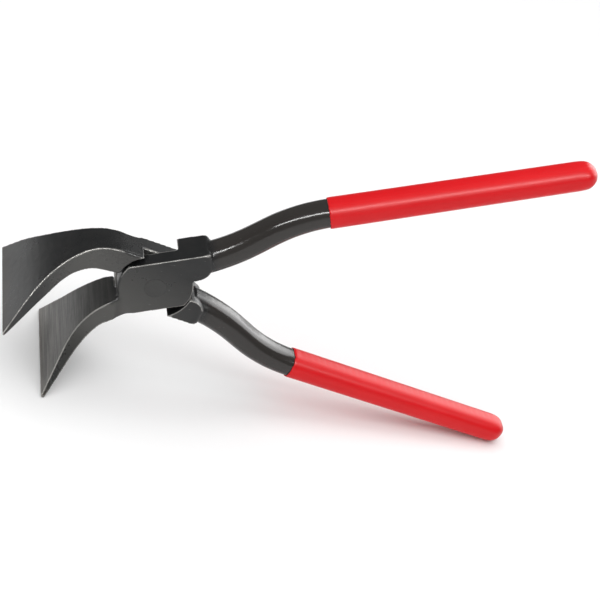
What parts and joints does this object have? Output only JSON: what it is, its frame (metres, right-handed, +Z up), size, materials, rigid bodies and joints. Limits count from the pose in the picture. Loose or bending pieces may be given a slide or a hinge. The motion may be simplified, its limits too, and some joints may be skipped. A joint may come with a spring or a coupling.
{
  "type": "hand seamer",
  "caption": "Forged hand seamer: wide blades bent 45 degrees, riveted lap joint, cranked round handles with dipped red grips, for folding sheet-metal seams.",
  "frame": {"origin": "on the pivot axis, at the outer flat face of the rivet and the visible cheek", "axes": "The tool stands in a vertical plane on the edge of its lower blade and the end of its lower handle: +Z up, +X level towards the handles, -Y along the pivot axis, out of the rivet's visible face. The blades point along -X and bend down. At rest the halves stand 33.8 degrees open."},
  "size_m": [0.2548, 0.06, 0.1626],
  "materials": {
    "black_steel": "blackened forged steel, satin, faint grinding marks on the jaw faces",
    "rivet_steel": "blackened, ground flush with the cheek",
    "red_vinyl": "glossy dipped vinyl, slightly soft"
  },
  "bodies": {
    "lower_jaw_body": {"lower_jaw_half": "black_steel", "pivot_rivet": "rivet_steel", "upper_grip": "red_vinyl"},
    "upper_jaw_body": {"upper_jaw_half": "black_steel", "lower_grip": "red_vinyl"}
  },
  "joints": [
    {"name": "jaw_pivot", "type": "hinge", "parent": "lower_jaw_body", "child": "upper_jaw_body", "pos_m": [0, 0.0076, 0], "axis": [0, 1, 0], "range_deg": [-33.6, 41]}
  ]
}
